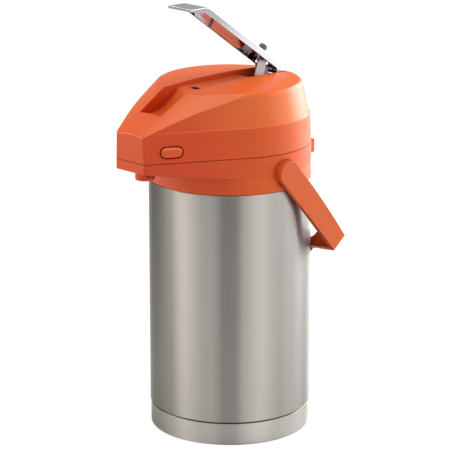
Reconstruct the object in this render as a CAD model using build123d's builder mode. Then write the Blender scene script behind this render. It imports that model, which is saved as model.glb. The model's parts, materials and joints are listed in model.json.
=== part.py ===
from build123d import *
import os
from math import sin, cos, radians, sqrt, atan2, acos, hypot

# Lever-action vacuum airpot: steel vessel, collar with a spout nose, hinged lid with
# a pump lever, and a bail handle resting at the rear.
# Millimetres, +Z up. The origin is the centre of the underside; the spout points
# to -Y and the lid hinge is at +Y. Left (+X) and right (-X) are the pot's own.

os.makedirs("parts", exist_ok=True)

# --- vessel ---
BODY_R = 82.5            # outer steel shell radius
SHELL_T = 0.8            # sheet thickness of cup, shell and liner
PAD_R, PAD_T = 75.0, 2.0
CUP_R = 81.8             # base cup radius
CUP_TOP = 24.0           # top of the base cup, under the seam groove
SHELL_BOTTOM = 25.0
SHELL_TOP = 262.5        # where the shell tucks in under the collar
LINER_R = 70.0
NECK_R = 43.0            # inside of the outer shell's neck
NECK_TOP = 287.0
NECK_SEAL_T = 2.0
LINER_NECK_R = NECK_R - 0.02

# --- collar and lid outline ---
COLLAR_R = 82.8
COLLAR_BOTTOM = 262.8
COLLAR_TOP = 299.8
LID_BOTTOM = 300.4
LID_R = 82.3
RIDGE_Z = 329.4          # top of the lid's lower band
RIDGE_R = 81.0
STEP_H = 1.2             # height of the step from the band to the dome
DOME_R = 79.7            # dome radius just above the band
SHOULDER_R = 70.9        # dome radius at DOME_TOP, before it is crowned
DOME_TOP = 370.0
CROWN_Z = 365.6          # crown height on the axis
CROWN_R = 942.0          # crown sphere radius
NOSE_Y = -135.5          # flat front face
NOSE_W = 20.4            # half width of the front face at the seam
NOSE_Z = 328.5           # top edge of the front face
SLOPE = 0.585            # rise over run of the front slope
SLOPE_R = 60.0           # plan radius of the rounded front slope
WALL = 2.6
EDGE_R = 2.2             # rounding of the nose's edges

# --- lever ---
HINGE_Y, HINGE_Z = 59.3, 359.5   # lever axle
AXLE_R = 2.0
LEVER_UP = 35.1                  # resting angle above the closed position
LEVER_HW = 16.0                  # half width
LEVER_TOP = 9.0                  # top skin above the axle
LEVER_BEND = -133.6              # bend to the finger tip, along the lever
LEVER_TIP = 24.0                 # length of the finger tip
TIP_ANGLE = 35.0                 # downward turn of the finger tip
LEVER_T = 1.1
LEVER_SIDE = 6.5                 # depth of the side walls
CHANNEL_HW = 16.7                # half width of the lever channel in the lid
CHANNEL_Z = 360.3                # its floor
CHANNEL_FRONT = -108.9
CATCH_Y = -47.9
CATCH_W, CATCH_D = 11.0, 7.4
LOCK_POS = (0, -26.8)            # sliding lock, in plan of the lever

# --- push link ---
LINK_EYE = (-16.2, 3.9)          # link pin in the lever's side view
LINK_PIN_Y, LINK_PIN_Z = 48.3, 372.0   # link's upper hole with the lever raised
LINK_PIN_R = 1.6
LINK_FOOT_Y, LINK_FOOT_Z = 36.0, 338.2

# --- pump ---
PUMP_Y = 20.0
PUMP_HOLE_R = 5.0
PUMP_FLOOR_T = 1.6
BELLOWS_R = 31.0
BELLOWS_BOTTOM, BELLOWS_TOP = 305.0, 333.0
BELLOWS_FOLDS = 4
BELLOWS_END = 1.2                # thickness of the flat ends
PLUNGER_T = 2.4

# --- pouring path ---
TUBE_Y = -25.0
TUBE_R = 5.0
TUBE_BOTTOM = 26.0
VALVE_R = 7.4
VALVE_BOTTOM = 268.0
TUBE_SOCKET = 6.0                # depth of the dip tube in the valve body
BALL_SEAT_Z, BALL_SEAT_R = 276.0, 3.2
BALL_R = 4.7
STOPPER_BOTTOM, STOPPER_TOP = 289.0, 292.0
STOPPER_HOLE_R = 8.0
OUTLET_SEAL_Z, OUTLET_SEAL_H = 294.8, 5.0
PIPE_BOTTOM = OUTLET_SEAL_Z + OUTLET_SEAL_H
PIPE_Z = 312.4                   # centre line of the level run
NOZZLE_Y = -113.5
GUARD_Y = -116.0

# --- lid inner plate ---
PLATE_Z, PLATE_T = 301.0, 2.4
PLATE_TOP = PLATE_Z + PLATE_T
GASKET_Z, GASKET_T = 292.1, 2.1
RIM_Z = GASKET_Z + GASKET_T      # foot of the plate's pressing rim
SCREW_SPOTS = ((46, 46), (-46, 46), (44, -52), (-44, -52))
SCREW_R = 1.8
SCREW_HEAD_H = 2.4

# --- lid hinge, handle, buttons ---
LID_HINGE_Y, LID_HINGE_Z = 88.6, 283.0
LID_PIN_R = 2.0
KNUCKLE_R = 5.2
HANDLE_Y, HANDLE_Z = -4.0, 281.5
HANDLE_REST = 50.5               # resting angle below the horizontal, to the rear
HANDLE_W = 21.5
PIVOT_R = 3.4
BUTTON_L, BUTTON_H = 21.5, 10.0
BUTTON_GAP = 2.6                 # window size beyond the button
BUTTON_ALONG, BUTTON_Z = 27.8, 311.0   # centre, measured back from the nose's corner
FLANGE_IN, FLANGE_T = 5.6, 1.6   # inner face and thickness of the button's flange


# ===========================================================================
# Helpers
# ===========================================================================
def save(name, part):
    part.label = name
    export_step(part, f"parts/{name}.step")


def tangent_angle(half_width, front_y, radius):
    """Angle at which a line from the front corner touches the round back."""
    return atan2(front_y, half_width) + acos(radius / hypot(half_width, front_y))


def plan(half_width, front_y, radius):
    """Closed outline from above: flat front, straight sides tangent to a round back."""
    angle = tangent_angle(half_width, front_y, radius)
    touch_x, touch_y = radius * cos(angle), radius * sin(angle)
    right, left = (-half_width, front_y), (half_width, front_y)
    return make_face([
        Line(right, left, mode=Mode.PRIVATE),
        Line(left, (touch_x, touch_y), mode=Mode.PRIVATE),
        ThreePointArc((touch_x, touch_y), (0, radius), (-touch_x, touch_y), mode=Mode.PRIVATE),
        Line((-touch_x, touch_y), right, mode=Mode.PRIVATE),
    ], mode=Mode.PRIVATE)


def xz_plane(y, z=0):
    return Plane(origin=(0, y, z), x_dir=(1, 0, 0), z_dir=(0, -1, 0))


def upright_axis(y, z=0):
    return Axis((0, y, z), (0, 0, 1))


def hub_plane(side, distance):
    """Plane square to the handle's pivot, facing outwards."""
    return Plane(origin=(side * distance, HANDLE_Y, HANDLE_Z),
                 x_dir=(0, side, 0), z_dir=(side, 0, 0))


def button_plane(side):
    """Plane on the nose's side at a release button, facing outwards."""
    turn = tangent_angle(NOSE_W, NOSE_Y, LID_R)
    out_x, out_y = cos(turn), sin(turn)
    along_x, along_y = -out_y, out_x
    origin = (side * (NOSE_W + BUTTON_ALONG * along_x), NOSE_Y + BUTTON_ALONG * along_y, BUTTON_Z)
    return Plane(origin=origin, x_dir=(along_x, side * along_y, 0),
                 z_dir=(side * out_x, out_y, 0))


def revolved(outline):
    """Solid of revolution from a closed outline of (radius, z)."""
    with BuildPart() as turned:
        with BuildSketch(Plane.XZ):
            with BuildLine():
                Polyline(*outline)
            make_face()
        revolve(axis=Axis.Z)
    return turned.part


def spring(pitch, height, radius, wire_r, center=(0, 0, 0)):
    with BuildPart() as coil:
        with BuildLine() as turns:
            Helix(pitch=pitch, height=height, radius=radius, center=center)
        with BuildSketch(Plane(origin=turns.line @ 0, z_dir=turns.line % 0)):
            Circle(wire_r)
        sweep(is_frenet=True)
    return coil.part


def mirrored(points):
    return [(-x, y) for x, y in points]


# ===========================================================================
# Vessel
# ===========================================================================
with BuildPart() as base_pad:
    with BuildSketch():
        Circle(PAD_R)
    extrude(amount=PAD_T)
    fillet(base_pad.edges().group_by(Axis.Z)[-1], 0.5)
save("base_pad", base_pad.part)

with BuildPart() as base_cup:
    with BuildSketch(Plane.XZ):
        with BuildLine():
            Polyline((0, PAD_T), (77.4, PAD_T), (78.4, 0.5), (79.9, 0.5))
            ThreePointArc((79.9, 0.5), (81.24, 1.06), (CUP_R, 2.4))
            Polyline((CUP_R, 2.4), (CUP_R, CUP_TOP - 0.5), (CUP_R - 0.5, CUP_TOP),
                     (81.0, CUP_TOP + 0.2), (81.0, 34.0), (80.2, 34.0), (80.2, CUP_TOP - 0.8),
                     (CUP_R - SHELL_T, CUP_TOP - 1.4), (CUP_R - SHELL_T, 4.0), (79.6, 2.8),
                     (0, PAD_T + SHELL_T), (0, PAD_T))
        make_face()
    revolve(axis=Axis.Z)
save("base_cup", base_cup.part)

# (radius, z): up the outside, over the shoulder to the neck, and back inside
SHELL_OUTLINE = [
    (BODY_R - 0.4, SHELL_BOTTOM), (BODY_R, SHELL_BOTTOM + 0.4), (BODY_R, SHELL_TOP - 0.4),
    (BODY_R - 0.4, SHELL_TOP), (79.0, SHELL_TOP + 0.2), (79.0, 266.5), (76.0, 272.0),
    (66.0, 276.0), (50.0, 278.2), (NECK_R + SHELL_T, 279.6), (NECK_R + SHELL_T, NECK_TOP),
    (NECK_R, NECK_TOP), (NECK_R, 278.9), (49.8, 277.4), (65.6, 275.2), (75.4, 271.4),
    (78.2, 266.2), (78.2, SHELL_TOP - 0.6), (BODY_R - SHELL_T, SHELL_TOP - 0.7),
    (BODY_R - SHELL_T, SHELL_BOTTOM), (BODY_R - 0.4, SHELL_BOTTOM),
]
save("outer_shell", revolved(SHELL_OUTLINE))

# (radius, z): out along the underside, up to the neck, and back inside
LINER_OUTLINE = [
    (0, 20.0), (54.0, 20.0), (62.0, 22.0), (67.6, 27.0), (LINER_R, 35.0), (LINER_R, 248.0),
    (68.0, 257.0), (62.0, 264.5), (54.0, 269.0), (LINER_NECK_R, 272.5),
    (LINER_NECK_R, NECK_TOP), (NECK_R - SHELL_T, NECK_TOP), (NECK_R - SHELL_T, 271.9),
    (53.7, 268.2), (61.4, 263.9), (67.2, 256.7), (LINER_R - SHELL_T, 247.9),
    (LINER_R - SHELL_T, 35.1), (66.9, 27.5), (61.6, 22.7), (53.9, 20.8), (0, 20.8), (0, 20.0),
]
save("inner_liner", revolved(LINER_OUTLINE))

with BuildPart() as neck_seal:
    with BuildSketch(Plane.XY.offset(NECK_TOP)):
        Circle(45.0)
        Circle(40.6, mode=Mode.SUBTRACT)
    extrude(amount=NECK_SEAL_T)
    fillet(neck_seal.edges(), 0.5)
save("neck_seal", neck_seal.part)

# plug that closes the neck and carries the tube and the spill valve
with BuildPart() as stopper:
    with BuildSketch(Plane.XZ):
        with BuildLine():
            Polyline((0, STOPPER_BOTTOM), (39.4, STOPPER_BOTTOM), (39.4, 274.0), (41.4, 274.0),
                     (41.4, 285.8), (40.2, 286.6), (40.2, STOPPER_BOTTOM),
                     (45.2, STOPPER_BOTTOM), (45.2, 291.4), (44.6, STOPPER_TOP),
                     (0, STOPPER_TOP), (0, STOPPER_BOTTOM))
        make_face()
    revolve(axis=Axis.Z)
    with BuildSketch(Plane.XY.offset(280.0)):
        with Locations((0, TUBE_Y)):
            Circle(STOPPER_HOLE_R)
        with Locations((0, PUMP_Y)):
            Circle(PUMP_HOLE_R)
    extrude(amount=20.0, mode=Mode.SUBTRACT)
save("stopper", stopper.part)

# chamber of the spill valve, set in the stopper, with sockets for tube and outlet
# columns: bottom z, radius, height, mode
VALVE_STEPS = (
    (VALVE_BOTTOM, VALVE_R, STOPPER_BOTTOM - VALVE_BOTTOM, Mode.ADD),
    (STOPPER_BOTTOM, STOPPER_HOLE_R, 5.6, Mode.ADD),
    (VALVE_BOTTOM, TUBE_R, TUBE_SOCKET, Mode.SUBTRACT),
    (VALVE_BOTTOM, BALL_SEAT_R, 30.0, Mode.SUBTRACT),
    (BALL_SEAT_Z, 5.6, 14.0, Mode.SUBTRACT),
)
with BuildPart() as valve_body:
    for bottom, radius, height, mode in VALVE_STEPS:
        with BuildSketch(Plane.XY.offset(bottom)):
            with Locations((0, TUBE_Y)):
                Circle(radius)
        extrude(amount=height, mode=mode)
    # cross-shaped slots through the ball seat
    with BuildSketch(Plane.XY.offset(274.8)):
        with Locations((0, TUBE_Y)):
            Rectangle(10.4, 2.0)
            Rectangle(2.0, 10.4)
    extrude(amount=3.0, mode=Mode.SUBTRACT)
save("valve_body", valve_body.part)

# the ball rests on the rim of its seat, with a little clearance
ball_z = BALL_SEAT_Z + sqrt(BALL_R**2 - BALL_SEAT_R**2) + 0.05
with BuildPart() as spill_valve_ball:
    with BuildSketch(xz_plane(TUBE_Y, ball_z)):
        with BuildLine():
            CenterArc((0, 0), BALL_R, -90, 180)
            Line((0, BALL_R), (0, -BALL_R))
        make_face()
    revolve(axis=upright_axis(TUBE_Y, ball_z))
save("spill_valve_ball", spill_valve_ball.part)

with BuildPart() as dip_tube:
    with BuildSketch(Plane.XY.offset(TUBE_BOTTOM)):
        with Locations((0, TUBE_Y)):
            Circle(TUBE_R)
            Circle(TUBE_R - 1.0, mode=Mode.SUBTRACT)
    extrude(amount=VALVE_BOTTOM + TUBE_SOCKET - TUBE_BOTTOM)
    # slanted foot, so that the tube can't seal itself on the liner's floor
    with BuildSketch(Plane.YZ):
        Polygon((TUBE_Y - 8, 20), (TUBE_Y + 8, 20), (TUBE_Y + 8, 35), (TUBE_Y - 8, 24),
                align=None)
    extrude(amount=10, both=True, mode=Mode.SUBTRACT)
save("dip_tube", dip_tube.part)

# ===========================================================================
# Collar: ring round the shoulder with the lower half of the nose
# ===========================================================================
NOSE_BASE_Z = 270.0      # start of the nose prism and of the well's plan
DECK_Z = 285.0           # floor of the well
RING_FLOOR_Z = 279.6     # underside of the nose where it meets the ring
HINGE_BLOCK_X, HINGE_BLOCK_W = 11.2, 15.4

# open well: plan inside the collar's wall, floor rising into the nose
with BuildSketch(Plane.XY.offset(NOSE_BASE_Z)) as well_plan:
    add(plan(NOSE_W - 2.2, NOSE_Y + 2.4, BODY_R - 2.5))
with BuildSketch(Plane.YZ) as well_side:
    with BuildLine():
        Polyline((-150, 320), (-150, 295.6), (NOSE_Y, 292.6))
        Spline((NOSE_Y, 292.6), (-97, 287.0), (-72, DECK_Z))
        Polyline((-72, DECK_Z), (100, DECK_Z), (100, 320), (-150, 320))
    make_face()
well = extrude(well_plan.sketch, amount=50) & extrude(well_side.sketch, amount=120, both=True)

with BuildPart() as collar:
    # nose, tangent to the ring, with a sloping underside
    with BuildSketch(Plane.XY.offset(NOSE_BASE_Z)):
        add(plan(NOSE_W, NOSE_Y, BODY_R))
    extrude(amount=COLLAR_TOP - NOSE_BASE_Z)
    with BuildSketch(Plane.YZ):
        with BuildLine():
            Polyline((-150, 250), (-150, 293.2), (NOSE_Y, 290.1))
            Spline((NOSE_Y, 290.1), (-97, 284.6), (-60, 280.6), (-30, RING_FLOOR_Z))
            Polyline((-30, RING_FLOOR_Z), (100, RING_FLOOR_Z), (100, 250), (-150, 250))
        make_face()
    extrude(amount=120, both=True, mode=Mode.SUBTRACT)
    # soften the nose's front upright edges
    fillet(collar.edges().filter_by(Axis.Z).group_by(Axis.Y)[0], EDGE_R)
    # ring
    with BuildSketch(Plane.XZ):
        Polygon((60, COLLAR_BOTTOM), (COLLAR_R - 0.5, COLLAR_BOTTOM),
                (COLLAR_R, COLLAR_BOTTOM + 0.5), (BODY_R - 0.4, 279.4), (BODY_R, 279.7),
                (BODY_R, COLLAR_TOP), (60, COLLAR_TOP), align=None)
    revolve(axis=Axis.Z)
    # outer blocks of the lid hinge
    for side in (1, -1):
        with BuildPart(mode=Mode.PRIVATE) as hinge_block:
            with BuildSketch(Plane.YZ.offset(side * HINGE_BLOCK_X)):
                Polygon((78, 275.4), (95.0, 275.4), (96.4, 276.8), (96.4, 288.2),
                        (95.0, 289.6), (78, 289.6), align=None)
            extrude(amount=side * HINGE_BLOCK_W)
            fillet(hinge_block.edges().filter_by(Axis.Z).group_by(Axis.Y)[-1], 0.8)
        add(hinge_block.part)
    # room for the shell's shoulder and its neck
    with BuildSketch(Plane.XZ):
        Polygon((0, 255), (79.4, 255), (79.4, 267.0), (76.4, 272.8), (66.2, 277.0),
                (50.2, 279.4), (45.6, 280.6), (45.6, 310), (0, 310), align=None)
    revolve(axis=Axis.Z, mode=Mode.SUBTRACT)
    # open well above the deck, running into the nose
    add(well, mode=Mode.SUBTRACT)
    # opening for the nozzle guard
    with BuildSketch(Plane.XY.offset(275.0)):
        with Locations((0, GUARD_Y)):
            Circle(11.2)
    extrude(amount=30, mode=Mode.SUBTRACT)
    # round sockets for the handle hubs, with the pivot holes
    for side in (1, -1):
        with BuildSketch(hub_plane(side, 81.2)):
            Circle(13.4)
        extrude(amount=6, mode=Mode.SUBTRACT)
        with BuildSketch(hub_plane(side, 81.2)):
            Circle(PIVOT_R)
        extrude(amount=-7.2, mode=Mode.SUBTRACT)
    # bore for the lid's hinge pin
    with BuildSketch(Plane.YZ):
        with Locations((LID_HINGE_Y, LID_HINGE_Z)):
            Circle(LID_PIN_R)
    extrude(amount=30, both=True, mode=Mode.SUBTRACT)
save("collar", collar.part)

with BuildPart() as hinge_pin:
    with BuildSketch(Plane.YZ):
        with Locations((LID_HINGE_Y, LID_HINGE_Z)):
            Circle(LID_PIN_R)
    # ends just inside the outer faces of the hinge blocks
    extrude(amount=HINGE_BLOCK_X + HINGE_BLOCK_W - 0.2, both=True)
    chamfer(hinge_pin.edges(), 0.4)
save("hinge_pin", hinge_pin.part)

with BuildPart() as handle_pivot_pins:
    for side in (1, -1):
        with BuildSketch(hub_plane(side, 74.2)):
            Circle(PIVOT_R)
        extrude(amount=12.6)
save("handle_pivot_pins", handle_pivot_pins.part)


# ===========================================================================
# Lid cover
# ===========================================================================
def slope_face(front_y):
    """Plan of everything behind a rounded front line whose foremost point is front_y."""
    half_arc = radians(50)
    flank = 120              # sideways reach of the straight flanks
    back_y = 420
    end_x, end_y = SLOPE_R * sin(half_arc), front_y + SLOPE_R * (1 - cos(half_arc))
    far_x, far_y = end_x + flank, end_y + flank * sin(half_arc) / cos(half_arc)
    points = [(end_x, end_y), (far_x, far_y), (far_x, back_y), (-far_x, back_y),
              (-far_x, far_y), (-end_x, end_y)]
    sides = [Line(p, q, mode=Mode.PRIVATE) for p, q in zip(points, points[1:])]
    front = ThreePointArc((-end_x, end_y), (0, front_y), (end_x, end_y), mode=Mode.PRIVATE)
    return make_face([front] + sides, mode=Mode.PRIVATE)


def lid_block(inset):
    """Solid of the lid's outer form, moved inwards by inset."""
    # columns: z, narrowing of the nose's half width, radius of the round back
    levels = ((LID_BOTTOM, 0.0, LID_R), (RIDGE_Z, 1.1, RIDGE_R),
              (RIDGE_Z + STEP_H, 1.3, DOME_R), (DOME_TOP, 2.6, SHOULDER_R))
    with BuildPart() as block:
        for pair in zip(levels, levels[1:]):
            for z, narrowing, radius in pair:
                with BuildSketch(Plane.XY.offset(z)):
                    add(plan(NOSE_W - narrowing - 0.8 * inset, NOSE_Y + inset, radius - inset))
            loft(ruled=True)
    # rounded front slope, an oblique prism
    low = 290.0
    slant_inset = inset * sqrt(1 + SLOPE**2) / SLOPE
    with BuildPart() as slope:
        with BuildSketch(Plane.XY.offset(low)):
            add(slope_face(NOSE_Y - (NOSE_Z - low) / SLOPE + slant_inset))
        extrude(amount=100 * sqrt(1 + 1 / SLOPE**2), dir=(0, 1 / SLOPE, 1))
    top, middle, edge = [(x, CROWN_Z - inset - x**2 / (2 * CROWN_R)) for x in (0, 80, 160)]
    with BuildPart() as crown:
        with BuildSketch(Plane.XZ):
            with BuildLine():
                Line((0, 280), top)
                ThreePointArc(top, middle, edge)
                Polyline(edge, (160, 280), (0, 280))
            make_face()
        revolve(axis=Axis.Z)
    return block.part & slope.part & crown.part


def crowned_edges(part):
    return [e for e in part.edges() if e.bounding_box().min.Z > 358]


def front_edges(part):
    """Top edge and upright edges of the nose's front face."""
    chosen = []
    for edge in part.edges():
        box = edge.bounding_box()
        if box.max.Y < NOSE_Y + 0.2 and (box.min.Z > 320 or box.max.Z - box.min.Z > 20):
            chosen.append(edge)
    return chosen


outer_form = lid_block(0.0)
inner_form = lid_block(WALL)

# side outlines in (y, z) of the lever channel and of the tub that encloses it:
# finger scoop, floor, well round the axle, notch to the rear
CHANNEL_SCOOP = [
    (CHANNEL_FRONT, 341.7), (-100.5, 340.3), (-91.0, 340.0), (-81.3, 341.5), (-73.5, 344.6),
    (-66.8, 349.2), (-61.2, 354.4), (-56.8, 358.4), (-52.0, CHANNEL_Z),
]
TUB_SCOOP = [
    (-112.0, 338.6), (-100.0, 337.2), (-91.0, 336.9), (-80.5, 338.4), (-71.5, 342.0),
    (-64.6, 346.8), (-58.6, 352.4), (-53.0, 356.2), (-48.0, CHANNEL_Z - WALL),
]
OPEN_Z = 385             # top of both outlines, above the lid
with BuildSketch(Plane.YZ) as channel_side:
    with BuildLine():
        Line((CHANNEL_FRONT, OPEN_Z), CHANNEL_SCOOP[0])
        Spline(*CHANNEL_SCOOP, tangents=((1, -0.3), (1, 0.0)))
        Polyline(CHANNEL_SCOOP[-1], (27.0, CHANNEL_Z), (27.0, 347.0), (65.5, 347.0),
                 (68.9, 351.0), (68.9, 358.0), (100, 358.0), (100, OPEN_Z),
                 (CHANNEL_FRONT, OPEN_Z))
    make_face()
with BuildSketch(Plane.YZ) as tub_side:
    with BuildLine():
        Line((-114.0, OPEN_Z), TUB_SCOOP[0])
        Spline(*TUB_SCOOP)
        Polyline(TUB_SCOOP[-1], (24.4, CHANNEL_Z - WALL), (24.4, 344.4), (67.0, 344.4),
                 (72.0, 350.0), (72.0, 355.4), (100, 355.4), (100, OPEN_Z), (-114.0, OPEN_Z))
    make_face()
with BuildSketch(Plane.XY.offset(330.0)) as channel_plan:
    with BuildLine():
        Polyline((15.0, CHANNEL_FRONT), (CHANNEL_HW, -84.0), (CHANNEL_HW, 100),
                 (-CHANNEL_HW, 100), (-CHANNEL_HW, -84.0), (-15.0, CHANNEL_FRONT),
                 (15.0, CHANNEL_FRONT))
    make_face()
    fillet(channel_plan.vertices().group_by(Axis.Y)[0], 1.6)
channel = (extrude(channel_side.sketch, amount=40, both=True)
           & extrude(channel_plan.sketch, amount=60))
tub = extrude(tub_side.sketch, amount=CHANNEL_HW + WALL, both=True)

with BuildPart() as lid_cover:
    add(outer_form)
    fillet(crowned_edges(lid_cover), 5.5)
    fillet(front_edges(lid_cover), EDGE_R)
    # raised panel on the back, above the hinge
    with BuildPart(mode=Mode.PRIVATE) as rear_panel:
        with BuildSketch(Plane.XZ):
            Polygon((70, LID_BOTTOM), (84.3, LID_BOTTOM), (82.9, 328.0), (81.2, 336.4),
                    (70, 337.4), align=None)
        revolve(axis=Axis.Z)
        with BuildSketch(Plane.XY.offset(295)):
            with Locations((0, 80)):
                Rectangle(56, 60)
        extrude(amount=60, mode=Mode.INTERSECT)
    add(rear_panel.part)
    # cavity, leaving the walls and floor of the lever channel
    add(inner_form - tub, mode=Mode.SUBTRACT)
    add(channel, mode=Mode.SUBTRACT)
    # screw bosses down to the inner plate
    with BuildPart(mode=Mode.PRIVATE) as bosses:
        with BuildSketch(Plane.XY.offset(PLATE_TOP)):
            with Locations(*SCREW_SPOTS):
                Circle(4.5)
        extrude(amount=58)
    add(bosses.part & outer_form)
    with BuildSketch(Plane.XY.offset(300.0)):
        with Locations(*SCREW_SPOTS):
            Circle(SCREW_R)
    extrude(amount=17.0, mode=Mode.SUBTRACT)
    # centre arm and knuckle of the lid hinge
    with BuildSketch(Plane.YZ):
        with Locations((LID_HINGE_Y, LID_HINGE_Z)):
            Circle(KNUCKLE_R)
        Polygon((LID_HINGE_Y - KNUCKLE_R, LID_HINGE_Z), (83.4, LID_BOTTOM), (80.0, LID_BOTTOM),
                (80.0, 312.0), (84.0, 312.0), (89.0, 299.0), (LID_HINGE_Y + KNUCKLE_R, 288.0),
                (LID_HINGE_Y + KNUCKLE_R, LID_HINGE_Z), align=None)
    extrude(amount=HINGE_BLOCK_X - 0.4, both=True)
    with BuildSketch(Plane.YZ):
        with Locations((LID_HINGE_Y, LID_HINGE_Z)):
            Circle(LID_PIN_R + 0.05)
    extrude(amount=26, both=True, mode=Mode.SUBTRACT)
    # lever axle holes, blind in the channel walls
    with BuildSketch(Plane.YZ):
        with Locations((HINGE_Y, HINGE_Z)):
            Circle(AXLE_R)
    extrude(amount=18.9, both=True, mode=Mode.SUBTRACT)
    # pocket for the lever catch and the opening for the push link
    with BuildSketch(Plane.XY.offset(350.0)):
        with Locations((0, CATCH_Y)):
            Rectangle(CATCH_W, CATCH_D)
    extrude(amount=20, mode=Mode.SUBTRACT)
    with BuildSketch(Plane.XY.offset(340.0)):
        with Locations((0, 38.5)):
            Rectangle(24.0, 21.0)
    extrude(amount=10, mode=Mode.SUBTRACT)
    # windows for the release buttons
    for side in (1, -1):
        with BuildSketch(button_plane(side)):
            SlotOverall(BUTTON_L + BUTTON_GAP, BUTTON_H + BUTTON_GAP)
        extrude(amount=5, both=True, mode=Mode.SUBTRACT)
save("lid_cover", lid_cover.part)

# ===========================================================================
# Inside the lid
# ===========================================================================
with BuildPart() as lid_inner_plate:
    with BuildSketch(Plane.XY.offset(PLATE_Z)):
        add(plan(NOSE_W - 2.5, NOSE_Y + 2.9, LID_R - 3.0))
    extrude(amount=PLATE_T)
    # pressing rim over the stopper
    with BuildSketch(Plane.XY.offset(RIM_Z)):
        with Locations((0, 0)):
            Circle(40.4)
            Circle(38.0, mode=Mode.SUBTRACT)
    extrude(amount=PLATE_Z - RIM_Z)
    # sockets for the button springs
    for side in (1, -1):
        seat = button_plane(side)
        with BuildSketch(seat.offset(-19.0)):
            Polygon((-5.5, -7.8), (5.5, -7.8), (5.5, 3.0), (3.0, 5.5), (-3.0, 5.5),
                    (-5.5, 3.0), align=None)
        extrude(amount=6.5)
        with BuildSketch(seat.offset(-18.2)):
            Circle(3.9)
        extrude(amount=6.0, mode=Mode.SUBTRACT)
        # slot for the latch leg
        with BuildSketch(seat.offset(-9.0)):
            with Locations((0, -9.0)):
                Rectangle(12.0, 6.0)
        extrude(amount=6.2, mode=Mode.SUBTRACT)
    with BuildSketch(Plane.XY.offset(290.0)):
        with Locations((0, TUBE_Y)):
            Circle(6.4)
        with Locations((0, PUMP_Y)):
            Circle(PUMP_HOLE_R)
        with Locations((0, NOZZLE_Y)):
            Circle(5.3)
        with Locations(*SCREW_SPOTS):
            Circle(SCREW_R + 0.2)
    extrude(amount=15, mode=Mode.SUBTRACT)
save("lid_inner_plate", lid_inner_plate.part)

with BuildPart() as lid_gasket:
    with BuildSketch(Plane.XY.offset(GASKET_Z)):
        Circle(41.0)
        Circle(37.4, mode=Mode.SUBTRACT)
    extrude(amount=GASKET_T)
save("lid_gasket", lid_gasket.part)

with BuildPart() as lid_screws:
    # heads, then shanks: bottom z, radius, height
    for bottom, radius, height in ((PLATE_Z - SCREW_HEAD_H, 3.4, SCREW_HEAD_H),
                                   (PLATE_Z, SCREW_R, 14.0)):
        with BuildSketch(Plane.XY.offset(bottom)):
            with Locations(*SCREW_SPOTS):
                Circle(radius)
        extrude(amount=height)
    # cross recesses
    with BuildSketch(Plane.XY.offset(PLATE_Z - SCREW_HEAD_H)):
        with Locations(*SCREW_SPOTS):
            Rectangle(4.2, 0.9)
            Rectangle(0.9, 4.2)
    extrude(amount=1.2, mode=Mode.SUBTRACT)
save("lid_screws", lid_screws.part)

with BuildPart() as pump_housing:
    with BuildSketch(Plane.XY.offset(PLATE_TOP)):
        with Locations((0, PUMP_Y)):
            Circle(37.5)
            Circle(PUMP_HOLE_R, mode=Mode.SUBTRACT)
    extrude(amount=PUMP_FLOOR_T)
    with BuildSketch(Plane.XY.offset(PLATE_TOP + PUMP_FLOOR_T)):
        with Locations((0, PUMP_Y)):
            Circle(34.4)
            Circle(32.6, mode=Mode.SUBTRACT)
    extrude(amount=30.0)
save("pump_housing", pump_housing.part)

# rubber bellows: a zigzag wall with flat ends, as an outline of (radius, z)
valley_r = BELLOWS_R - 3.4
bellows_wall = 1.4       # radial thickness of the zigzag
flange_r = BELLOWS_R - 0.6
mouth_r = BELLOWS_R - 8
fold_start = BELLOWS_BOTTOM + BELLOWS_END
fold_end = BELLOWS_TOP - BELLOWS_END
fold_pitch = (fold_end - fold_start) / BELLOWS_FOLDS
outer_wall = []
for k in range(BELLOWS_FOLDS):
    z = fold_start + k * fold_pitch
    outer_wall += [(valley_r, z), (BELLOWS_R, z + fold_pitch / 2)]
outer_wall.append((valley_r, fold_end))
inner_wall = [(radius - bellows_wall, z) for radius, z in outer_wall]
bellows_outline = (
    [(mouth_r, BELLOWS_BOTTOM), (flange_r, BELLOWS_BOTTOM), (flange_r, fold_start)]
    + outer_wall
    + [(flange_r, fold_end), (flange_r, BELLOWS_TOP), (mouth_r, BELLOWS_TOP), (mouth_r, fold_end)]
    + inner_wall[::-1]
    + [(mouth_r, fold_start)]
)
with BuildPart() as bellows:
    with BuildSketch(xz_plane(PUMP_Y)):
        Polygon(*bellows_outline, align=None)
    revolve(axis=upright_axis(PUMP_Y))
save("bellows", bellows.part)

save("pump_spring", spring(pitch=5.1, height=25.5, radius=15.0, wire_r=1.0,
                           center=(0, PUMP_Y, 306.2)))

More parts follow.
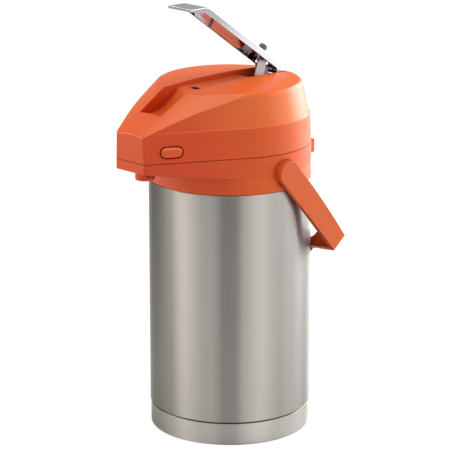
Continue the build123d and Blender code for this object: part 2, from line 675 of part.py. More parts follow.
CLEVIS_R = 5.0
clevis_front, clevis_rear = LINK_FOOT_Y - CLEVIS_R, LINK_FOOT_Y + CLEVIS_R
plunger_top = BELLOWS_TOP + PLUNGER_T
with BuildPart() as plunger_cap:
    with BuildSketch(Plane.XY.offset(BELLOWS_TOP)):
        with Locations((0, PUMP_Y)):
            Circle(32.2)
    extrude(amount=PLUNGER_T)
    # clevis for the foot of the push link
    with BuildSketch(Plane.YZ):
        with BuildLine():
            Polyline((clevis_front, plunger_top), (clevis_front, LINK_FOOT_Z))
            ThreePointArc((clevis_front, LINK_FOOT_Z), (LINK_FOOT_Y, LINK_FOOT_Z + CLEVIS_R),
                          (clevis_rear, LINK_FOOT_Z))
            Polyline((clevis_rear, LINK_FOOT_Z), (clevis_rear, plunger_top),
                     (clevis_front, plunger_top))
        make_face()
    extrude(amount=9.6, both=True)
    with BuildSketch(Plane.YZ):
        with Locations((LINK_FOOT_Y, 342.0)):
            Rectangle(20.0, 15.0)
    extrude(amount=6.4, both=True, mode=Mode.SUBTRACT)
    with BuildSketch(Plane.YZ):
        with Locations((LINK_FOOT_Y, LINK_FOOT_Z)):
            Circle(2.8)
    extrude(amount=12, both=True, mode=Mode.SUBTRACT)
save("plunger_cap", plunger_cap.part)

with BuildPart() as outlet_seal:
    with BuildSketch(Plane.XY.offset(OUTLET_SEAL_Z)):
        with Locations((0, TUBE_Y)):
            Circle(6.2)
            Circle(3.6, mode=Mode.SUBTRACT)
    extrude(amount=OUTLET_SEAL_H)
save("outlet_seal", outlet_seal.part)

with BuildPart() as discharge_pipe:
    with BuildLine():
        FilletPolyline((0, TUBE_Y, PIPE_BOTTOM), (0, TUBE_Y, PIPE_Z), (0, NOZZLE_Y, PIPE_Z),
                       (0, NOZZLE_Y, 292.0), radius=6.5)
    with BuildSketch(Plane(origin=(0, TUBE_Y, PIPE_BOTTOM), z_dir=(0, 0, 1))):
        Circle(5.0)
        Circle(3.4, mode=Mode.SUBTRACT)
    sweep()
save("discharge_pipe", discharge_pipe.part)

with BuildPart() as nozzle:
    with BuildSketch(xz_plane(NOZZLE_Y)):
        Polygon((2.4, 280.6), (3.6, 280.6), (4.0, 282.0), (4.0, 291.8), (3.4, 291.8),
                (3.4, 299.0), (2.4, 299.0), align=None)
    revolve(axis=upright_axis(NOZZLE_Y))
save("nozzle", nozzle.part)

GUARD_Z = 279.2
with BuildPart() as nozzle_guard:
    with BuildSketch(Plane.XY.offset(GUARD_Z)):
        with Locations((0, GUARD_Y)):
            Circle(9.7)
            Circle(7.9, mode=Mode.SUBTRACT)
    extrude(amount=PLATE_Z - GUARD_Z)
    fillet(nozzle_guard.edges().group_by(Axis.Z)[0], 0.6)
    # windows in both sides
    with BuildSketch(Plane.YZ):
        with Locations((GUARD_Y + 0.6, 287.0)):
            RectangleRounded(12.4, 9.6, 1.2)
    extrude(amount=14, both=True, mode=Mode.SUBTRACT)
save("nozzle_guard", nozzle_guard.part)

CATCH_BOTTOM = 351.6
with BuildPart() as lever_catch:
    with BuildSketch(Plane.XY.offset(CATCH_BOTTOM)):
        with Locations((0, CATCH_Y)):
            Rectangle(CATCH_W, CATCH_D)
    extrude(amount=CHANNEL_Z - 0.1 - CATCH_BOTTOM)
    with BuildSketch(Plane.XY.offset(353.0)):
        with Locations((0, CATCH_Y)):
            Rectangle(CATCH_W - 1.4, CATCH_D - 1.4)
    extrude(amount=10, mode=Mode.SUBTRACT)
save("lever_catch", lever_catch.part)

with BuildPart() as lever_axle:
    with BuildSketch(Plane.YZ):
        with Locations((HINGE_Y, HINGE_Z)):
            Circle(AXLE_R)
    extrude(amount=18.8, both=True)
save("lever_axle", lever_axle.part)

# ===========================================================================
# Lever
# ===========================================================================
lever_cos, lever_sin = cos(radians(LEVER_UP)), sin(radians(LEVER_UP))
# side view of the raised lever: local x runs along it to the rear, local y is its top side
lever_side = Plane(origin=(0, HINGE_Y, HINGE_Z), x_dir=(0, lever_cos, -lever_sin),
                   z_dir=(1, 0, 0))
# plan of the raised lever: local x is X, local y runs to the rear
lever_plan = Plane(origin=(0, HINGE_Y, HINGE_Z), x_dir=(1, 0, 0),
                   z_dir=(0, lever_sin, lever_cos))

# finger tip in the side view: directions along it and square to its underside
along_x, along_y = -cos(radians(TIP_ANGLE)), -sin(radians(TIP_ANGLE))
under_x, under_y = -along_y, along_x
bend = (LEVER_BEND, LEVER_TOP)
tip_end = (bend[0] + LEVER_TIP * along_x, bend[1] + LEVER_TIP * along_y)
tip_low = (tip_end[0] + 2.6 * under_x, tip_end[1] + 2.6 * under_y)
skin_y = LEVER_TOP - LEVER_T         # underside of the top skin
inner_bend = (LEVER_BEND + 0.45, skin_y)
inner_tip = (inner_bend[0] + 22.4 * along_x, inner_bend[1] + 22.4 * along_y)
inner_low = (inner_tip[0] + 9 * under_x, inner_tip[1] + 9 * under_y)
bend_point = lever_side.origin + lever_side.x_dir * bend[0] + lever_side.y_dir * bend[1]
LUG_R = 3.6


def height_on_lever(edge):
    """Height of an edge's centre above the axle, square to the lever."""
    return (edge.center() - lever_side.origin).dot(lever_plan.z_dir)


with BuildPart() as lever:
    with BuildSketch(lever_side):
        Polygon((0, LEVER_TOP), bend, tip_end, tip_low,
                (LEVER_BEND + 1.8, LEVER_TOP - LEVER_SIDE), (-12, LEVER_TOP - LEVER_SIDE),
                (-5, -6), (0, 0), align=None)
        Circle(LEVER_TOP)
    extrude(amount=LEVER_HW, both=True)
    # round the bend: the cross edge nearest to it
    cross_edges = lever.edges().filter_by(lambda e: abs(e.center().X) < 0.5 and e.length > 30)
    fillet(cross_edges.sort_by(lambda e: (e.center() - bend_point).length)[0], 18.0)
    top_rim = lever.edges().filter_by(
        lambda e: abs(abs(e.center().X) - LEVER_HW) < 0.01
        and height_on_lever(e) > LEVER_TOP - 1.6 and e.length > 4)
    fillet(top_rim, 1.0)
    # hollow underside
    with BuildSketch(lever_side):
        Polygon((0, skin_y), inner_bend, inner_tip, inner_low, (LEVER_BEND + 9, -12),
                (-9, -12), (-3.0, -7.0), (0, 0), align=None)
        Circle(skin_y)
    extrude(amount=LEVER_HW - LEVER_T, both=True, mode=Mode.SUBTRACT)
    # lugs for the push link's pin
    lug_front, lug_rear = LINK_EYE[0] - LUG_R, LINK_EYE[0] + LUG_R
    for side in (1, -1):
        with BuildSketch(lever_side.offset(side * 6.6)):
            with Locations(LINK_EYE):
                Circle(LUG_R)
            Polygon((lug_front, LINK_EYE[1]), (lug_rear, LINK_EYE[1]),
                    (lug_rear, LEVER_TOP - 0.5), (lug_front, LEVER_TOP - 0.5), align=None)
        extrude(amount=side * 2.0)
    with BuildSketch(lever_side):
        with Locations(LINK_EYE):
            Circle(LINK_PIN_R)
    extrude(amount=12, both=True, mode=Mode.SUBTRACT)
    # axle bore
    with BuildSketch(lever_side):
        Circle(AXLE_R + 0.05)
    extrude(amount=20, both=True, mode=Mode.SUBTRACT)
    # slot for the lock's stem
    with BuildSketch(lever_plan):
        with Locations((0, -24.2)):
            Rectangle(3.4, 9.2)
    extrude(amount=14, mode=Mode.SUBTRACT)
save("lever", lever.part)

with BuildPart() as lever_hook:
    with BuildSketch(lever_side):
        Polygon((-108.8, skin_y), (-105.0, skin_y), (-105.0, skin_y - 0.8),
                (-105.8, skin_y - 1.1), (-105.8, -1.4), (-106.6, -2.4), (-108.2, -1.2),
                (-107.5, -0.3), (-107.0, -0.6), (-107.0, skin_y - 1.1),
                (-108.8, skin_y - 0.8), align=None)
    extrude(amount=1.7, both=True)
save("lever_hook", lever_hook.part)

with BuildPart() as link_pin:
    with BuildSketch(lever_side):
        with Locations(LINK_EYE):
            Circle(LINK_PIN_R)
    extrude(amount=9.4, both=True)
save("link_pin", link_pin.part)

# sliding lock: thumb stub above the lever, stem through the slot, plate beneath
with BuildPart() as lever_lock:
    with BuildSketch(lever_plan.offset(LEVER_TOP + 0.06)):
        with Locations(LOCK_POS):
            Circle(4.2)
    extrude(amount=10.2)
    fillet(lever_lock.edges().group_by(Axis.Z)[-1], 1.2)
    with BuildSketch(lever_plan.offset(skin_y - 0.06)):
        with Locations(LOCK_POS):
            Rectangle(2.8, 3.4)
    extrude(amount=1.4)
    with BuildSketch(lever_plan.offset(skin_y - 1.5)):
        with Locations(LOCK_POS):
            Rectangle(9.0, 4.4)
    extrude(amount=1.44)
save("lever_lock", lever_lock.part)

# push link, drawn along local x from its foot to its upper hole
LINK_W = 5.2
link_dy, link_dz = LINK_PIN_Y - LINK_FOOT_Y, LINK_PIN_Z - LINK_FOOT_Z
link_len = hypot(link_dy, link_dz)
link_plane = Plane(origin=(0, LINK_FOOT_Y, LINK_FOOT_Z),
                   x_dir=(0, link_dy / link_len, link_dz / link_len), z_dir=(1, 0, 0))
with BuildPart() as push_link:
    with BuildSketch(link_plane):
        with Locations((link_len / 2, 0)):
            SlotOverall(link_len + LINK_W, LINK_W)
    extrude(amount=6.0, both=True)
    with BuildSketch(link_plane):
        Circle(1.8)
    extrude(amount=9.4, both=True)
    with BuildSketch(link_plane):
        with Locations((link_len, 0)):
            Circle(LINK_PIN_R + 0.05)
    extrude(amount=7, both=True, mode=Mode.SUBTRACT)
save("push_link", push_link.part)

# ===========================================================================
# Release buttons and their springs, one on each side of the nose
# ===========================================================================
for side, word in ((1, "left"), (-1, "right")):
    face = button_plane(side)
    with BuildPart() as button:
        with BuildSketch(face.offset(-4.2)):
            SlotOverall(BUTTON_L, BUTTON_H)
        extrude(amount=6.2)
        fillet(button.faces().sort_by(lambda f: f.center().dot(face.z_dir))[-1].edges(), 2.6)
        # flange behind the wall
        with BuildSketch(face.offset(-FLANGE_IN)):
            SlotOverall(BUTTON_L + 5.0, BUTTON_H + 4.4)
        extrude(amount=FLANGE_T)
        # latch leg down into the collar's nose
        with BuildSketch(face.offset(-FLANGE_IN)):
            with Locations((0, -12.5)):
                Rectangle(9.0, 13.0)
        extrude(amount=FLANGE_T)
    save("release_button_" + word, button.part)

    # coil drawn upright, then laid along the button's axis
    coil = spring(pitch=1.9, height=9.0, radius=3.0, wire_r=0.35)
    save("button_spring_" + word, face.offset(-15.2).from_local_coords(coil))

# ===========================================================================
# Bail handle
# ===========================================================================
rest_cos, rest_sin = cos(radians(HANDLE_REST)), sin(radians(HANDLE_REST))
# across the arch: local x is X, local y runs out along the arms
arch_plane = Plane(origin=(0, HANDLE_Y, HANDLE_Z), x_dir=(1, 0, 0), z_dir=(0, rest_sin, rest_cos))
# side view: local x runs out along the arms, local y up and to the rear
arm_plane = Plane(origin=(0, HANDLE_Y, HANDLE_Z), x_dir=(0, rest_cos, -rest_sin), z_dir=(1, 0, 0))

# (x, distance along the arms) of the left half, from the pivot or corner outwards
ARM_OUTER = [(89.0, 0), (90.4, 54), (93.4, 107.5)]
ARM_INNER = [(83.6, 0), (85.0, 54), (87.4, 104.4)]
BAIL_OUTER = [
    (92, 110.2), (71.5, 116), (61.6, 119.2), (55.6, 122.2), (49.4, 126.6), (43, 132.2),
    (35, 140), (26, 148.4), (14.6, 155.4), (0, 158.2),
]
BAIL_INNER = [
    (87.4, 104.4), (70, 109.6), (60, 112.8), (53.6, 115.8), (46.6, 120.4), (39.6, 126.2),
    (31.6, 133.8), (23.4, 141.6), (13.4, 149), (0, 152.2),
]
ARM_END = -14            # arms' ends, beyond the pivot
HUB_R = 12.0

with BuildPart() as bail_handle:
    with BuildSketch(arch_plane):
        with BuildLine():
            Polyline((83.6, ARM_END), (89.0, ARM_END), (89.0, 0))
            Spline(*ARM_OUTER)
            Line(ARM_OUTER[-1], BAIL_OUTER[0])
            Spline(*BAIL_OUTER, tangents=((-1, 0.2), (-1, 0)))
            Spline(*mirrored(BAIL_OUTER[::-1]), tangents=((-1, 0), (-1, -0.2)))
            Line((-92.0, 110.2), (-93.4, 107.5))
            Spline(*mirrored(ARM_OUTER[::-1]))
            Polyline((-89.0, 0), (-89.0, ARM_END), (-83.6, ARM_END), (-83.6, 0))
            Spline(*mirrored(ARM_INNER))
            Spline(*mirrored(BAIL_INNER), tangents=((1, 0.2), (1, 0)))
            Spline(*BAIL_INNER[::-1], tangents=((1, 0), (1, -0.2)))
            Spline(*ARM_INNER[::-1])
            Line((83.6, 0), (83.6, ARM_END))
        make_face()
    extrude(amount=HANDLE_W + 4, both=True)
    # side outline: round hub, gently curved arms, bail set a little away from the body
    with BuildSketch(arm_plane):
        Circle(HUB_R)
        with BuildLine():
            Line((0, -HUB_R), (0, HUB_R))
            Spline((0, HUB_R), (52.0, 13.0), (106.0, 9.6))
            Spline((106.0, 9.6), (121.0, 13.2), (138.0, 18.4), (172.0, 20.4),
                   tangents=((1, 0.1), (1, 0)))
            Line((172.0, 20.4), (172.0, 1.0))
            Spline((172.0, 1.0), (138.0, -1.0), (121.0, -6.8), (107.0, -10.6),
                   tangents=((-1, 0), (-1, -0.1)))
            Spline((107.0, -10.6), (52.0, -10.4), (0, -HUB_R))
        make_face()
    extrude(amount=110, both=True, mode=Mode.INTERSECT)
    # the bail follows the body it rests against
    with BuildSketch(Plane.XY.offset(120)):
        Circle(BODY_R + 1.0)
    extrude(amount=120, mode=Mode.SUBTRACT)
    # hubs that reach into the collar's sockets
    for side in (1, -1):
        with BuildSketch(hub_plane(side, 81.4)):
            Circle(HUB_R - 0.2)
        extrude(amount=3.0)
        with BuildSketch(hub_plane(side, 81.0)):
            Circle(PIVOT_R + 0.05)
        extrude(amount=6.0, mode=Mode.SUBTRACT)
save("bail_handle", bail_handle.part)
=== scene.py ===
"""Vacuum flask with a pump lid: brushed steel body, orange plastic lid parts and bail handle.

Metres, +Z up. The body is turned about the Z axis and stands on the floor at z = 0. The
nozzle side is -Y.
"""
import json
import math

import bpy
import bmesh
from mathutils import Vector, Matrix


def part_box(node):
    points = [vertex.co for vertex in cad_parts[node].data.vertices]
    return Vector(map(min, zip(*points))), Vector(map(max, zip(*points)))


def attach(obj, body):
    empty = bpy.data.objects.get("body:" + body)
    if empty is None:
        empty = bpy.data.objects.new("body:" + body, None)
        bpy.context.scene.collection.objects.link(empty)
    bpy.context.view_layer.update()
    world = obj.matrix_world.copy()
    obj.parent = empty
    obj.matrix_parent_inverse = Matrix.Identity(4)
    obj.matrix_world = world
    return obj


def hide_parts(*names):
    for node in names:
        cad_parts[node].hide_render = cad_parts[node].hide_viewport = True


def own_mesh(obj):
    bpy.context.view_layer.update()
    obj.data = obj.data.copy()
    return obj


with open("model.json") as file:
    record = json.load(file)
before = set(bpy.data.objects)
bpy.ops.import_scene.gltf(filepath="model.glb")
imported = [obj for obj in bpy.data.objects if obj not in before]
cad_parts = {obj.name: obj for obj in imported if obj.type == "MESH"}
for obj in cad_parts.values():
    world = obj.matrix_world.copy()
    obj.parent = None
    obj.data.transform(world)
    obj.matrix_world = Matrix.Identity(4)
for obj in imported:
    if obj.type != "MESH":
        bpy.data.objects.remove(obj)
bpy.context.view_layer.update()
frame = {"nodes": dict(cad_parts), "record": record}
scene = bpy.context.scene
pieces = frame["nodes"]
slot_of = {part["node"]: part["material_slot"] for part in frame["record"]["subparts"]}


# ---------------------------------------------------------------------------
# Colours and node helpers
# ---------------------------------------------------------------------------
WHITE = (1.0, 1.0, 1.0, 1.0)


def srgb(red, green, blue):
    """Linear RGBA from 0-255 sRGB values."""
    def linear(value):
        value = value / 255.0
        return value / 12.92 if value <= 0.04045 else ((value + 0.055) / 1.055) ** 2.4
    return (linear(red), linear(green), linear(blue), 1.0)


def grey(value):
    return (value, value, value, 1.0)


class Nodes:
    """Builds a node tree. Any input takes either a plain value or another node's output."""

    def __init__(self, tree):
        self.tree = tree
        tree.nodes.clear()

    def node(self, kind, inputs=None, **settings):
        made = self.tree.nodes.new(kind)
        for name, value in settings.items():
            setattr(made, name, value)
        self.feed(made, inputs or {})
        return made

    def feed(self, node, inputs):
        for key, value in inputs.items():
            if isinstance(value, bpy.types.NodeSocket):
                self.tree.links.new(value, node.inputs[key])
            else:
                node.inputs[key].default_value = value

    def math(self, operation, a, b=None):
        inputs = {0: a} if b is None else {0: a, 1: b}
        return self.node("ShaderNodeMath", inputs, operation=operation).outputs[0]

    def vector_math(self, operation, inputs, output="Vector"):
        return self.node("ShaderNodeVectorMath", inputs, operation=operation).outputs[output]

    def xyz(self, vector):
        return self.node("ShaderNodeSeparateXYZ", {0: vector}).outputs

    def remap(self, value, span, to=(0.0, 1.0)):
        """Carry the span's two ends to the two values of `to`, clamped."""
        inputs = {0: value, 1: span[0], 2: span[1], 3: to[0], 4: to[1]}
        return self.node("ShaderNodeMapRange", inputs).outputs[0]

    def mix(self, factor, a, b, blend="MIX"):
        # sockets 6, 7 and output 2 are the colour ones
        made = self.node("ShaderNodeMix", {0: factor, 6: a, 7: b},
                         data_type="RGBA", blend_type=blend)
        return made.outputs[2]

    def multiply(self, a, b):
        return self.mix(1.0, a, b, blend="MULTIPLY")

    def camera_switch(self, unseen, seen, share=None):
        """Camera rays get the `seen` shader (or a share of it), all others get `unseen`."""
        factor = self.node("ShaderNodeLightPath").outputs["Is Camera Ray"]
        if share is not None:
            factor = self.math("MULTIPLY", factor, share)
        return self.node("ShaderNodeMixShader", {0: factor, 1: unseen, 2: seen}).outputs[0]


class Material(Nodes):
    """A node material around one Principled shader."""

    def __init__(self, name):
        self.data = bpy.data.materials.new(name)
        self.data.use_nodes = True
        super().__init__(self.data.node_tree)
        self.output = self.node("ShaderNodeOutputMaterial")
        self.shader = self.node("ShaderNodeBsdfPrincipled")
        self.feed(self.output, {0: self.shader.outputs[0]})

    def surface(self, inputs):
        self.feed(self.shader, inputs)

    def coords(self):
        return self.node("ShaderNodeTexCoord").outputs["Object"]

    def scaled(self, vector, scale):
        return self.node("ShaderNodeMapping", {"Scale": scale, "Vector": vector}).outputs[0]

    def noise(self, vector, scale=1.0, detail=4.0, rough=0.55):
        inputs = {"Scale": scale, "Detail": detail, "Roughness": rough, "Vector": vector}
        return self.node("ShaderNodeTexNoise", inputs).outputs["Fac"]

    def ramp(self, factor, stops):
        made = self.node("ShaderNodeValToRGB", {0: factor})
        made.color_ramp.interpolation = "CARDINAL"
        elements = made.color_ramp.elements
        while len(elements) > 1:
            elements.remove(elements[-1])
        elements[0].position, elements[0].color = stops[0]
        for position, colour in stops[1:]:
            elements.new(position).color = colour
        return made.outputs[0]

    def bevel(self, radius):
        return self.node("ShaderNodeBevel", {"Radius": radius}, samples=4).outputs[0]

    def bump(self, height, normal, strength, distance):
        inputs = {"Strength": strength, "Distance": distance, "Height": height,
                  "Normal": normal}
        return self.node("ShaderNodeBump", inputs).outputs[0]


# ---------------------------------------------------------------------------
# Moulded plastic
# ---------------------------------------------------------------------------
PLASTIC_EDGE = 0.0007    # radius of the rounded edges
PLASTIC_GRAIN = 0.035    # bump strength of the spark texture


def paint_light_and_shade(m, colour, geometry, upper, top, flank):
    """Paint light and shade into the colour by direction, by place along Y and in recesses.
    """
    normal = m.xyz(geometry["Normal"])
    # painted light: greener, paler tint away from the -Y end, and on faces that look to -Y
    y_place = m.xyz(geometry["Position"])[1]
    flank_painted_light = m.mix(m.remap(y_place, span=(-0.088, -0.034)),
                       WHITE, (1.03, flank, 1.05, 1.0))
    colour = m.multiply(colour, flank_painted_light)
    front_painted_light = (1.06, 1.0 + (flank - 1.0) * 1.1, 1.0, 1.0)
    colour = m.mix(m.remap(normal[1], span=(-0.75, -0.95)),
                   colour, m.multiply(colour, front_painted_light))
    # painted light: lit colours on sloping faces that look upwards, then on level ones
    colour = m.mix(m.remap(normal[2], span=(0.0, 0.30)), colour, upper)
    colour = m.mix(m.remap(normal[2], span=(0.80, 0.97)), colour, top)
    # painted shade: deeper colour in recesses and narrow gaps, less so on faces that look up
    occlusion = m.node("ShaderNodeAmbientOcclusion", {"Distance": 0.035}, samples=6)
    open_sky = m.remap(normal[2], span=(0.55, 0.9), to=(0.0, 0.6))
    openness = m.remap(occlusion.outputs["AO"], span=(0.15, 0.75))
    openness = m.math("MINIMUM", m.math("ADD", openness, open_sky), 1.0)
    colour = m.mix(openness, m.multiply(colour, (0.70, 0.45, 0.60, 1.0)), colour)
    # painted light and shade: the whole piece runs slightly deeper towards -Y and paler
    # towards +Y
    y_place = m.xyz(geometry["Position"])[1]
    painted_y_light = m.mix(m.remap(y_place, span=(-0.10, 0.035)),
                (0.985, 0.92, 0.85, 1.0), (1.07, 1.38, 1.25, 1.0))
    return m.multiply(colour, painted_y_light)


def facing_axis(m, geometry):
    """1 on faces that look in at the Z axis, 0 on those that look away."""
    level = m.vector_math("MULTIPLY", {0: geometry["Position"], 1: (1.0, 1.0, 0.0)})
    outward = m.vector_math("NORMALIZE", {0: level})
    dot = m.vector_math("DOT_PRODUCT", {0: outward, 1: geometry["Normal"]}, output="Value")
    return m.remap(dot, span=(-0.10, -0.45))


def moulded_plastic(name, base, light, dark, rough=0.36, coat=0.12, specular=0.5,
                    upper=None, top=None, flank=1.0, inner_shade=False):
    """Injection-moulded plastic: fine spark texture, faint flow variation, rounded edges.

    upper, top: painted light, the lit colours of faces that slope up and face up; flank:
    green gain of the painted light on the walls.
    """
    m = Material(name)
    coords = m.coords()
    broad = m.noise(coords, scale=9.0, detail=3.0)
    fine = m.noise(coords, scale=900.0, detail=2.0, rough=0.6)
    micro = m.noise(coords, scale=2600.0, detail=1.0, rough=0.5)
    geometry = m.node("ShaderNodeNewGeometry").outputs

    colour = m.mix(m.remap(broad, span=(0.35, 0.65)), dark, light)
    colour = m.mix(0.55, colour, base)
    # painted light and shade by direction, by place along Y and in recesses
    if upper is not None:
        colour = paint_light_and_shade(m, colour, geometry, upper, top or upper, flank)
    # painted highlight: convex edges drawn lighter
    edge_highlight = m.remap(geometry["Pointiness"], span=(0.505, 0.56), to=(0.0, 0.35))
    colour = m.mix(edge_highlight, colour, light)
    if inner_shade:
        # faces that look in at the vessel are in its shade
        inward = facing_axis(m, geometry)
        colour = m.mix(inward, colour, m.multiply(colour, (0.50, 0.34, 0.30, 1.0)))
        specular = m.remap(inward, span=(0.0, 1.0), to=(specular, 0.0))

    normal = m.bevel(PLASTIC_EDGE)
    normal = m.bump(fine, normal, strength=PLASTIC_GRAIN, distance=0.0002)
    normal = m.bump(micro, normal, strength=PLASTIC_GRAIN * 0.6, distance=0.0001)
    m.surface({
        "Base Color": colour,
        "Roughness": m.math("ADD",
                            m.remap(broad, span=(0.3, 0.7), to=(rough - 0.03, rough + 0.04)),
                            m.remap(fine, span=(0.3, 0.7), to=(-0.03, 0.03))),
        "Specular IOR Level": specular,
        "Sheen Weight": 0.0,
        "Sheen Roughness": 0.32,
        "Sheen Tint": (1.0, 0.93, 0.90, 1.0),
        "Coat Weight": coat,
        "Coat Roughness": 0.28,
        "Normal": normal,
    })
    return m.data


# ---------------------------------------------------------------------------
# Metals and rubber
# ---------------------------------------------------------------------------
BODY_RADIUS = 0.0825
SEAM_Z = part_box("outer_shell")[0][2] - 0.0006    # joint between the shell and the base cup
BAND_ZERO = math.atan2(-0.695, 0.719)            # direction that counts as 0 degrees below
BAND_TINT = (1.0, 0.974, 0.936)
BAND_MIDDLE = (0.42, 0.41, 0.39)                 # colour that the contrast spreads from

# Reflected light round the body: (degrees from the side that faces the camera,
# anticlockwise seen from above; brightness)
BAND_PROFILE = [
    (-175, 0.4), (-155, 0.56), (-130, 0.38), (-100, 0.24), (-74.2, 0.099), (-67.6, 0.141),
    (-58.1, 0.226), (-50.7, 0.26), (-43.2, 0.348), (-34.9, 0.709), (-28.1, 0.732),
    (-20.2, 0.59), (-12.7, 0.527), (-9.0, 0.439), (-5.3, 0.326), (1.2, 0.31), (5.5, 0.352),
    (8.4, 0.479), (12.8, 0.556), (22.7, 0.65), (30.8, 0.534), (37.7, 0.409), (46.5, 0.439),
    (59.8, 0.348), (71.1, 0.273), (86, 0.58), (104, 0.4), (124, 0.3), (144, 0.47),
    (164, 0.5),
]


def light_bands(m, angle, height, contrast, gain):
    """Soft upright bands of light; contrast is given at the foot and at the top."""
    # the ramp covers one turn from 0 to 1 that starts at -X
    stops = sorted(((BAND_ZERO + math.radians(degrees)) / (2 * math.pi) + 0.5) % 1.0
                   for degrees, _ in BAND_PROFILE)
    stops = sorted((((BAND_ZERO + math.radians(degrees)) / (2 * math.pi) + 0.5) % 1.0, value)
                   for degrees, value in BAND_PROFILE)
    joint = (stops[0][1] + stops[-1][1]) / 2
    stops = [(0.0, joint)] + stops + [(1.0, joint)]
    tint = m.ramp(m.remap(angle, span=(-math.pi, math.pi)),
                  [(turn, tuple(value * part for part in BAND_TINT) + (1.0,))
                   for turn, value in stops])
    strength = m.remap(height, span=(0.03, 0.25), to=contrast)
    spread = m.vector_math("SUBTRACT", {0: tint, 1: BAND_MIDDLE})
    spread = m.vector_math("SCALE", {0: spread, "Scale": strength})
    tint = m.vector_math("ADD", {0: spread, 1: BAND_MIDDLE})
    return m.vector_math("SCALE", {0: tint, "Scale": gain})


def brushed_steel(name, contrast=None, gain=1.0):
    """Sheet steel brushed round the body; with a contrast, it also carries light bands."""
    m = Material(name)
    x, y, z = m.xyz(m.coords())
    angle = m.math("ARCTAN2", y, x)
    # rolled-out coordinates: along the brushing, then across it
    along = m.math("MULTIPLY", angle, BODY_RADIUS)
    rolled = m.node("ShaderNodeCombineXYZ", {0: along, 1: z}).outputs[0]
    lines = m.noise(m.scaled(rolled, (14.0, 2600.0, 1.0)), detail=4.0, rough=0.7)
    hairlines = m.noise(m.scaled(rolled, (60.0, 5200.0, 1.0)), detail=2.0, rough=0.6)
    cloud = m.noise(m.scaled(rolled, (10.0, 3.0, 1.0)), detail=2.0)
    brush = m.math("ADD", m.math("MULTIPLY", lines, 0.6), m.math("MULTIPLY", hairlines, 0.4))

    shade = m.mix(m.remap(brush, span=(0.3, 0.7)), grey(0.86), grey(1.0))
    if contrast is None:
        colour = m.multiply(srgb(176, 174, 169), shade)
    else:
        colour = m.multiply(light_bands(m, angle, z, contrast, gain), shade)
        # dark line at the joint
        gap = m.math("ABSOLUTE", m.math("SUBTRACT", z, SEAM_Z))
        colour = m.mix(m.remap(gap, span=(0.0007, 0.0012), to=(0.82, 0.0)),
                       colour, (0.035, 0.030, 0.026, 1.0))
    tangent = m.node("ShaderNodeTangent", direction_type="RADIAL", axis="Z")
    m.surface({
        "Base Color": colour,
        "Metallic": 1.0,
        "Roughness": m.math("ADD", m.remap(brush, span=(0.25, 0.75), to=(0.30, 0.42)),
                            m.remap(cloud, span=(0.3, 0.7), to=(-0.03, 0.03))),
        "Anisotropic": 0.75,
        "Anisotropic Rotation": 0.25,
        "Tangent": tangent.outputs[0],
        "Normal": m.bump(brush, m.bevel(0.0005), strength=0.06, distance=0.00015),
    })
    return m.data


def polished_chrome(name):
    m = Material(name)
    coords = m.coords()
    smear = m.noise(coords, scale=26.0, detail=3.0)
    fine = m.noise(coords, scale=1500.0, detail=2.0)
    m.surface({
        "Base Color": m.mix(smear, srgb(205, 205, 214), srgb(221, 221, 230)),
        "Metallic": 1.0,
        "Roughness": m.math("ADD", m.remap(smear, span=(0.3, 0.7), to=(0.035, 0.085)),
                            m.remap(fine, span=(0.3, 0.7), to=(0.0, 0.015))),
        "Normal": m.bump(smear, m.bevel(0.0006), strength=0.018, distance=0.0006),
    })
    return m.data


def turned_steel(name):
    m = Material(name)
    fine = m.noise(m.scaled(m.coords(), (2000.0, 300.0, 300.0)), detail=3.0)
    m.surface({
        "Base Color": m.mix(fine, srgb(150, 150, 152), srgb(196, 196, 196)),
        "Metallic": 1.0,
        "Roughness": m.remap(fine, span=(0.3, 0.7), to=(0.22, 0.36)),
        "Normal": m.bump(fine, m.bevel(0.0002), strength=0.08, distance=0.0001),
    })
    return m.data


def rubber(name, base, light, rough):
    m = Material(name)
    coords = m.coords()
    broad = m.noise(coords, scale=60.0, detail=4.0)
    fine = m.noise(coords, scale=1400.0, detail=2.0)
    m.surface({
        "Base Color": m.mix(m.remap(broad, span=(0.3, 0.7)), base, light),
        "Roughness": m.remap(broad, span=(0.3, 0.7), to=(rough - 0.06, rough + 0.06)),
        "Normal": m.bump(fine, m.bevel(0.0003), strength=0.12, distance=0.0002),
    })
    return m.data


# ---------------------------------------------------------------------------
# Materials on the pieces
# ---------------------------------------------------------------------------
# upper, top and flank paint light into the orange colours
orange = moulded_plastic(
    "orange_plastic", base=(0.675, 0.053, 0.002, 1), light=(0.715, 0.061, 0.003, 1),
    dark=(0.63, 0.046, 0.002, 1), rough=0.38, coat=0.0,
    upper=(0.80, 0.128, 0.012, 1), top=(0.74, 0.090, 0.002, 1), flank=1.55)
orange_button = moulded_plastic(
    "orange_button_plastic", base=(0.78, 0.085, 0.006, 1), light=(0.82, 0.095, 0.008, 1),
    dark=(0.74, 0.076, 0.005, 1), rough=0.32, coat=0.0, specular=0.55,
    upper=(0.90, 0.17, 0.03, 1))
orange_handle = moulded_plastic(
    "orange_handle_plastic", base=(0.58, 0.078, 0.010, 1), light=(0.63, 0.090, 0.013, 1),
    dark=(0.57, 0.070, 0.011, 1), rough=0.40, coat=0.0, specular=0.36,
    upper=(0.70, 0.11, 0.018, 1), inner_shade=True)

# name: base, light and dark colours, roughness
PLAIN_PLASTICS = {
    "grey_plastic": ((86, 85, 89), (98, 97, 101), (76, 75, 79), 0.30),
    "link_plastic": ((212, 210, 216), (222, 220, 226), (200, 198, 204), 0.38),
    "black_plastic": ((22, 22, 24), (38, 38, 40), (14, 14, 15), 0.5),
    "white_plastic": ((232, 229, 222), (240, 238, 232), (222, 218, 208), 0.4),
}
plain_plastics = {
    name: moulded_plastic(name, srgb(*base), srgb(*light), srgb(*dark), rough=rough)
    for name, (base, light, dark, rough) in PLAIN_PLASTICS.items()
}

steel = brushed_steel("brushed_steel", contrast=(0.92, 1.16))
steel_cup = brushed_steel("brushed_steel_cup", contrast=(0.55, 0.55), gain=1.34)

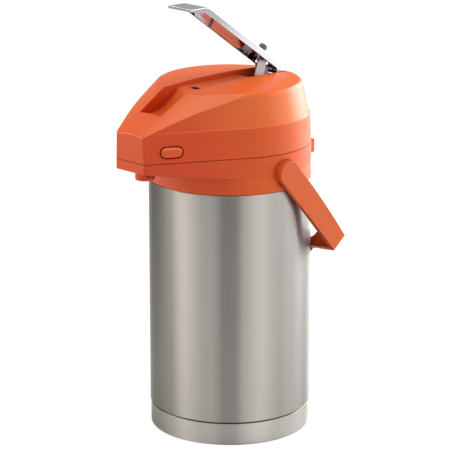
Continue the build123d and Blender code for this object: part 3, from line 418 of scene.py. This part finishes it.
BY_SLOT = {
    **plain_plastics,
    "orange_plastic": orange,
    "brushed_steel": steel,
    "steel_liner": brushed_steel("steel_liner"),
    "chrome": polished_chrome("chrome"),
    "pin_steel": turned_steel("pin_steel"),
    "silicone": rubber("silicone", srgb(196, 192, 184), srgb(214, 210, 204), rough=0.5),
    "black_rubber": rubber("black_rubber", srgb(20, 20, 21), srgb(36, 36, 37), rough=0.68),
}
# pieces that don't take their slot's material
BY_PIECE = {
    "bail_handle": orange_handle,
    "push_link": plain_plastics["link_plastic"],
    "base_cup": steel_cup,
    "nozzle": orange,
}


def material_for(name):
    if name.startswith("release_button"):
        return orange_button
    return BY_PIECE.get(name, BY_SLOT[slot_of[name]])


for name, piece in pieces.items():
    for slot in piece.material_slots:
        slot.material = material_for(name)
    if not piece.material_slots:
        piece.data.materials.append(material_for(name))


def add_squashing(name):
    """Stand a copy in for the piece, parented to the lid, with the piece itself hidden."""
    source = pieces[name]
    soft = source.copy()
    soft.data = source.data.copy()
    soft.name = name + "_soft"
    soft.parent = None
    for key in [key for key in soft.keys() if key.startswith("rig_")]:
        del soft[key]
    scene.collection.objects.link(soft)
    soft.matrix_world = source.matrix_world.copy()

    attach(soft, "lid")
    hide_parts(name)
    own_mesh(soft)


add_squashing("bellows")
add_squashing("pump_spring")


# ---------------------------------------------------------------------------
# Stage: pale floor, white world, soft lights, camera
# ---------------------------------------------------------------------------
def pale_floor(name, colour):
    """Seen nearly white, with only a faint shadow left on it."""
    m = Material(name)
    lighter = tuple(min(1.0, part * 1.01) for part in colour[:3]) + (1.0,)
    m.surface({
        "Base Color": m.mix(m.noise(m.coords(), scale=3.0, detail=2.0), colour, lighter),
        "Roughness": 0.8,
        "Specular IOR Level": 0.1,
    })
    glow = m.node("ShaderNodeEmission", {"Color": WHITE, "Strength": 1.1})
    m.feed(m.output, {0: m.camera_switch(m.shader.outputs[0], glow.outputs[0], share=0.84)})
    return m.data


def add_floor():
    disc = bmesh.new()
    bmesh.ops.create_circle(disc, cap_ends=True, segments=96, radius=6.0)
    mesh = bpy.data.meshes.new("floor")
    disc.to_mesh(mesh)
    disc.free()
    floor = bpy.data.objects.new("floor", mesh)
    scene.collection.objects.link(floor)
    mesh.materials.append(pale_floor("floor_pale", colour=(0.74, 0.73, 0.72, 1.0)))


def set_world():
    """Warm light on the pieces, plain white behind them."""
    world = scene.world or bpy.data.worlds.new("world")
    scene.world = world
    world.use_nodes = True
    w = Nodes(world.node_tree)
    lit = w.node("ShaderNodeBackground", {"Color": (1.0, 0.975, 0.94, 1.0), "Strength": 0.46})
    seen = w.node("ShaderNodeBackground", {"Color": WHITE, "Strength": 1.05})
    w.node("ShaderNodeOutputWorld", {0: w.camera_switch(lit.outputs[0], seen.outputs[0])})


# name, place, height on the Z axis aimed at, size (x, y), power in watts, colour
AREA_LIGHTS = [
    ("top_soft", (-0.1, -0.2, 1.9), 0.3, (1.3, 1.3), 12.6, (1.0, 0.98, 0.92)),
    ("front_left", (-1.5, -1.5, 0.9), 0.25, (0.9, 1.3), 17, (1.0, 0.95, 0.86)),
    ("right_soft", (2.0, -0.2, 1.0), 0.28, (1.0, 1.2), 3.4, (1, 1, 1)),
    ("right_rim", (1.6, 1.1, 0.85), 0.25, (0.8, 1.4), 8, (1, 1, 1)),
    ("back_rim", (0.2, 2.1, 0.8), 0.3, (1.9, 1.4), 62, (1, 1, 1)),
]


def add_area_light(name, place, aim_z, size, power, colour):
    light = bpy.data.lights.new(name, "AREA")
    light.shape = "RECTANGLE"
    light.size, light.size_y = size
    light.energy = power
    light.color = colour
    lamp = bpy.data.objects.new(name, light)
    lamp.location = place
    aim = Vector((0, 0, aim_z)) - Vector(place)
    lamp.rotation_euler = aim.to_track_quat("-Z", "Y").to_euler()
    scene.collection.objects.link(lamp)


def add_camera(azimuth, elevation, distance, aim_z, aim_right, lens):
    """Angles in degrees; azimuth turns from -Y towards +X."""
    data = bpy.data.cameras.new("camera")
    data.sensor_width = 36.0
    data.lens = lens
    camera = bpy.data.objects.new("camera", data)
    turn, tilt = math.radians(azimuth), math.radians(elevation)
    back = Vector((math.sin(turn) * math.cos(tilt),
                   -math.cos(turn) * math.cos(tilt),
                   math.sin(tilt)))
    right = Vector((math.cos(turn), math.sin(turn), 0.0))
    axes = Matrix((right, back.cross(right), back)).transposed().to_4x4()
    target = Vector((0, 0, aim_z)) + right * aim_right
    camera.matrix_world = Matrix.Translation(target + back * distance) @ axes
    scene.collection.objects.link(camera)
    scene.camera = camera


add_floor()
set_world()
for entry in AREA_LIGHTS:
    add_area_light(*entry)
add_camera(azimuth=46, elevation=15.71, distance=2.4,
           aim_z=0.20977, aim_right=-0.00489, lens=187.65)
scene.view_settings.view_transform = "Standard"
scene.view_settings.look = "None"

bpy.context.view_layer.update()
